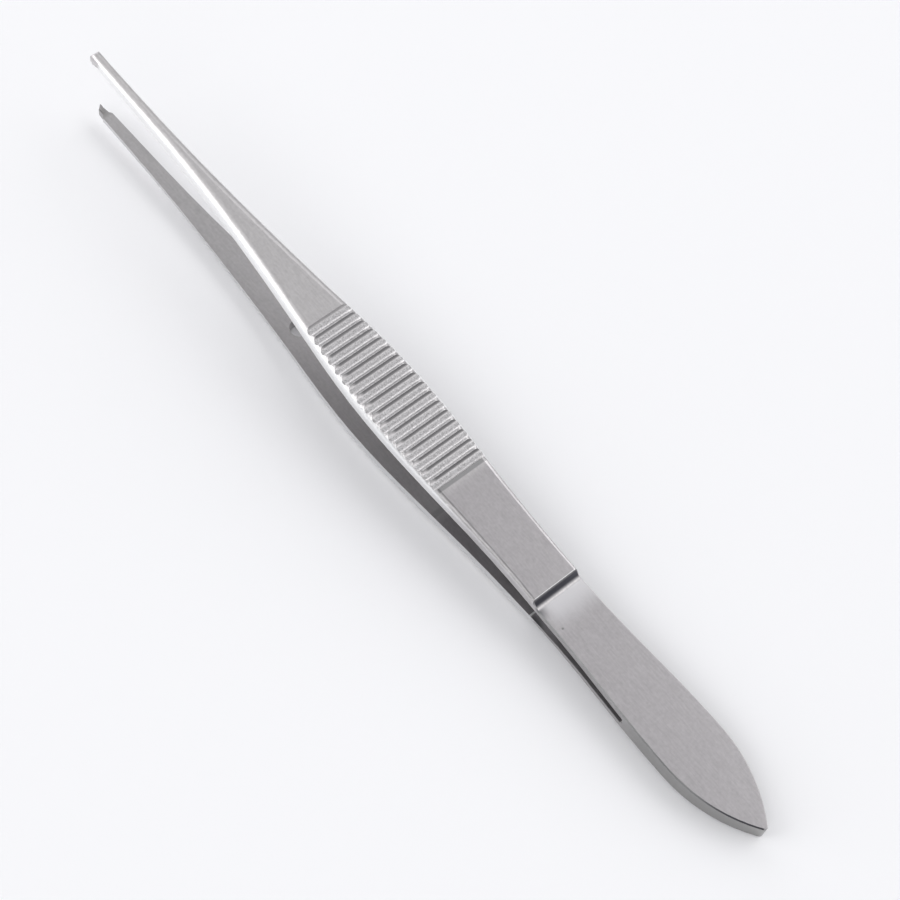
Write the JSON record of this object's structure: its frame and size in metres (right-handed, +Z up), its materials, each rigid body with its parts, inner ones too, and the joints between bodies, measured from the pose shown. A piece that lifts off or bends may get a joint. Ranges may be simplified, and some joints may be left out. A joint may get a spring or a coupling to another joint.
{
  "type": "thumb forceps",
  "caption": "Toothed thumb forceps: slim tapering spring arms with cross-grooved finger grips, a guide pin and its hole, welded together over a flat leaf-shaped tail.",
  "frame": {"origin": "bottom centre of the forceps' bounding box, on the surface it lies on", "axes": "+X from the toothed tips to the leaf-shaped tail, +Y across the arms, +Z up; the forceps lies on its lower arm's grip and the end of its tail"},
  "size_m": [0.1, 0.007, 0.0115],
  "materials": {
    "arm_steel": "satin stainless steel, finely brushed across the arm",
    "pin_steel": "turned stainless steel"
  },
  "bodies": {
    "root": {"upper_arm": "arm_steel", "lower_arm": "arm_steel", "guide_pin": "pin_steel"}
  },
  "joints": []
}
